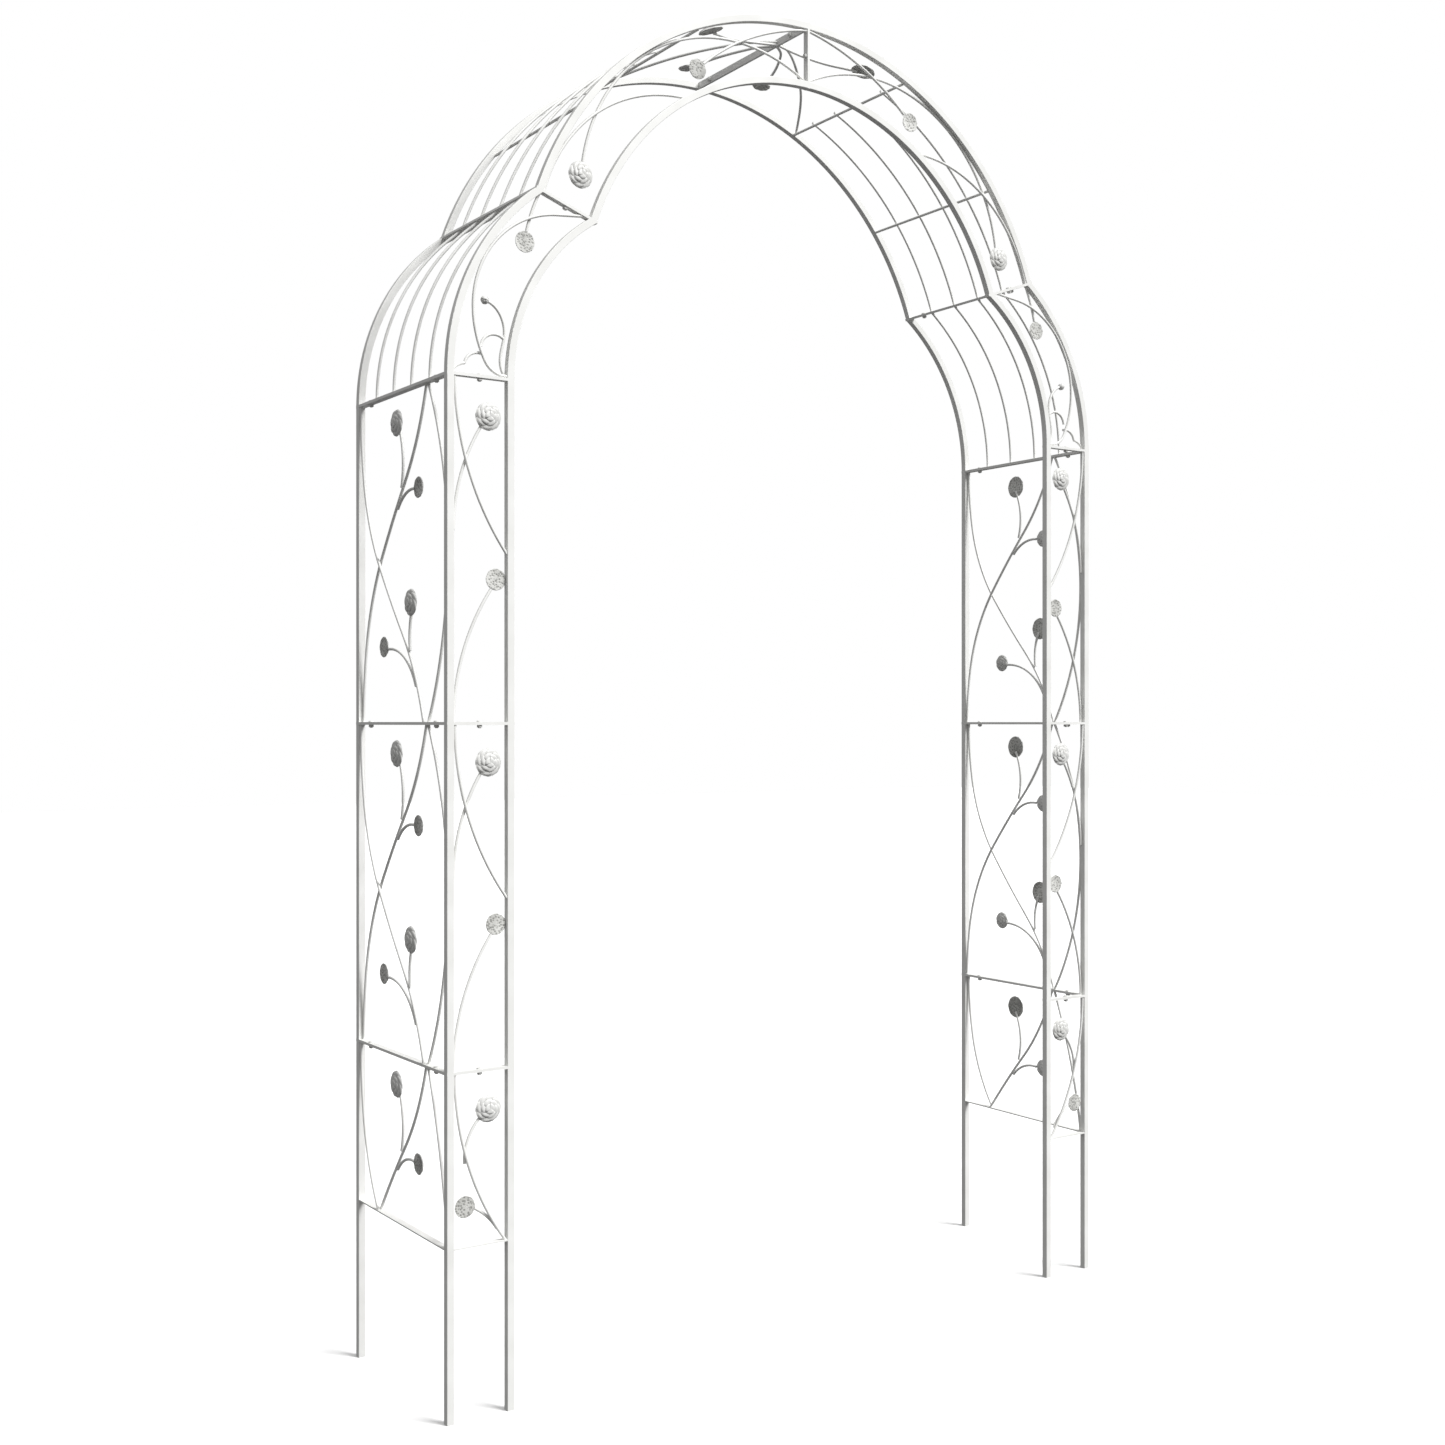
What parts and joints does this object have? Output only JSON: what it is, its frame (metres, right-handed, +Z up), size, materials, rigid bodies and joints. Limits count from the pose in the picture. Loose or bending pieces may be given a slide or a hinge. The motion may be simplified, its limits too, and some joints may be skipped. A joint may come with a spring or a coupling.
{
  "type": "garden arch",
  "caption": "Tall metal trellis arch for climbing plants: slim square tubes, a stepped round top, bent vine rods and pressed roses.",
  "frame": {"origin": "on the ground, in the middle of the overall footprint", "axes": "+Z up, +X to the right across the walkway seen from the front, +Y towards the back; the narrow front panels and front roses face -Y"},
  "size_m": [1.4586, 0.3782, 2.3993],
  "materials": {
    "white_coated_steel": "satin white powder coat on steel",
    "zinc_fastener": "white painted steel fasteners"
  },
  "bodies": {
    "root": {"joint_bolts": "zinc_fastener", "joint_nuts": "zinc_fastener", "left_base_flat_bars": "white_coated_steel", "left_base_inner_leg": "white_coated_steel", "left_base_outer_leg": "white_coated_steel", "left_base_rear_leg": "white_coated_steel", "left_base_trellis_rods": "white_coated_steel", "left_crown_flat_bars": "white_coated_steel", "left_crown_front_rods": "white_coated_steel", "left_crown_inner_hoop": "white_coated_steel", "left_crown_outer_hoop": "white_coated_steel", "left_crown_rear_hoop": "white_coated_steel", "left_crown_roof_rods": "white_coated_steel", "left_large_roses": "white_coated_steel", "left_middle_flat_bars": "white_coated_steel", "left_middle_inner_post": "white_coated_steel", "left_middle_outer_post": "white_coated_steel", "left_middle_rear_post": "white_coated_steel", "left_middle_trellis_rods": "white_coated_steel", "left_shoulder_bud": "white_coated_steel", "left_shoulder_flat_bars": "white_coated_steel", "left_shoulder_inner_hoop": "white_coated_steel", "left_shoulder_outer_hoop": "white_coated_steel", "left_shoulder_rear_hoop": "white_coated_steel", "left_shoulder_trellis_rods": "white_coated_steel", "left_small_roses": "white_coated_steel", "left_upper_flat_bars": "white_coated_steel", "left_upper_inner_post": "white_coated_steel", "left_upper_outer_post": "white_coated_steel", "left_upper_rear_post": "white_coated_steel", "left_upper_trellis_rods": "white_coated_steel", "right_base_flat_bars": "white_coated_steel", "right_base_inner_leg": "white_coated_steel", "right_base_outer_leg": "white_coated_steel", "right_base_rear_leg": "white_coated_steel", "right_base_trellis_rods": "white_coated_steel", "right_crown_flat_bars": "white_coated_steel", "right_crown_front_rods": "white_coated_steel", "right_crown_inner_hoop": "white_coated_steel", "right_crown_outer_hoop": "white_coated_steel", "right_crown_rear_hoop": "white_coated_steel", "right_crown_roof_rods": "white_coated_steel", "right_large_roses": "white_coated_steel", "right_middle_flat_bars": "white_coated_steel", "right_middle_inner_post": "white_coated_steel", "right_middle_outer_post": "white_coated_steel", "right_middle_rear_post": "white_coated_steel", "right_middle_trellis_rods": "white_coated_steel", "right_shoulder_bud": "white_coated_steel", "right_shoulder_flat_bars": "white_coated_steel", "right_shoulder_inner_hoop": "white_coated_steel", "right_shoulder_outer_hoop": "white_coated_steel", "right_shoulder_rear_hoop": "white_coated_steel", "right_shoulder_trellis_rods": "white_coated_steel", "right_small_roses": "white_coated_steel", "right_upper_flat_bars": "white_coated_steel", "right_upper_inner_post": "white_coated_steel", "right_upper_outer_post": "white_coated_steel", "right_upper_rear_post": "white_coated_steel", "right_upper_trellis_rods": "white_coated_steel"}
  },
  "joints": []
}
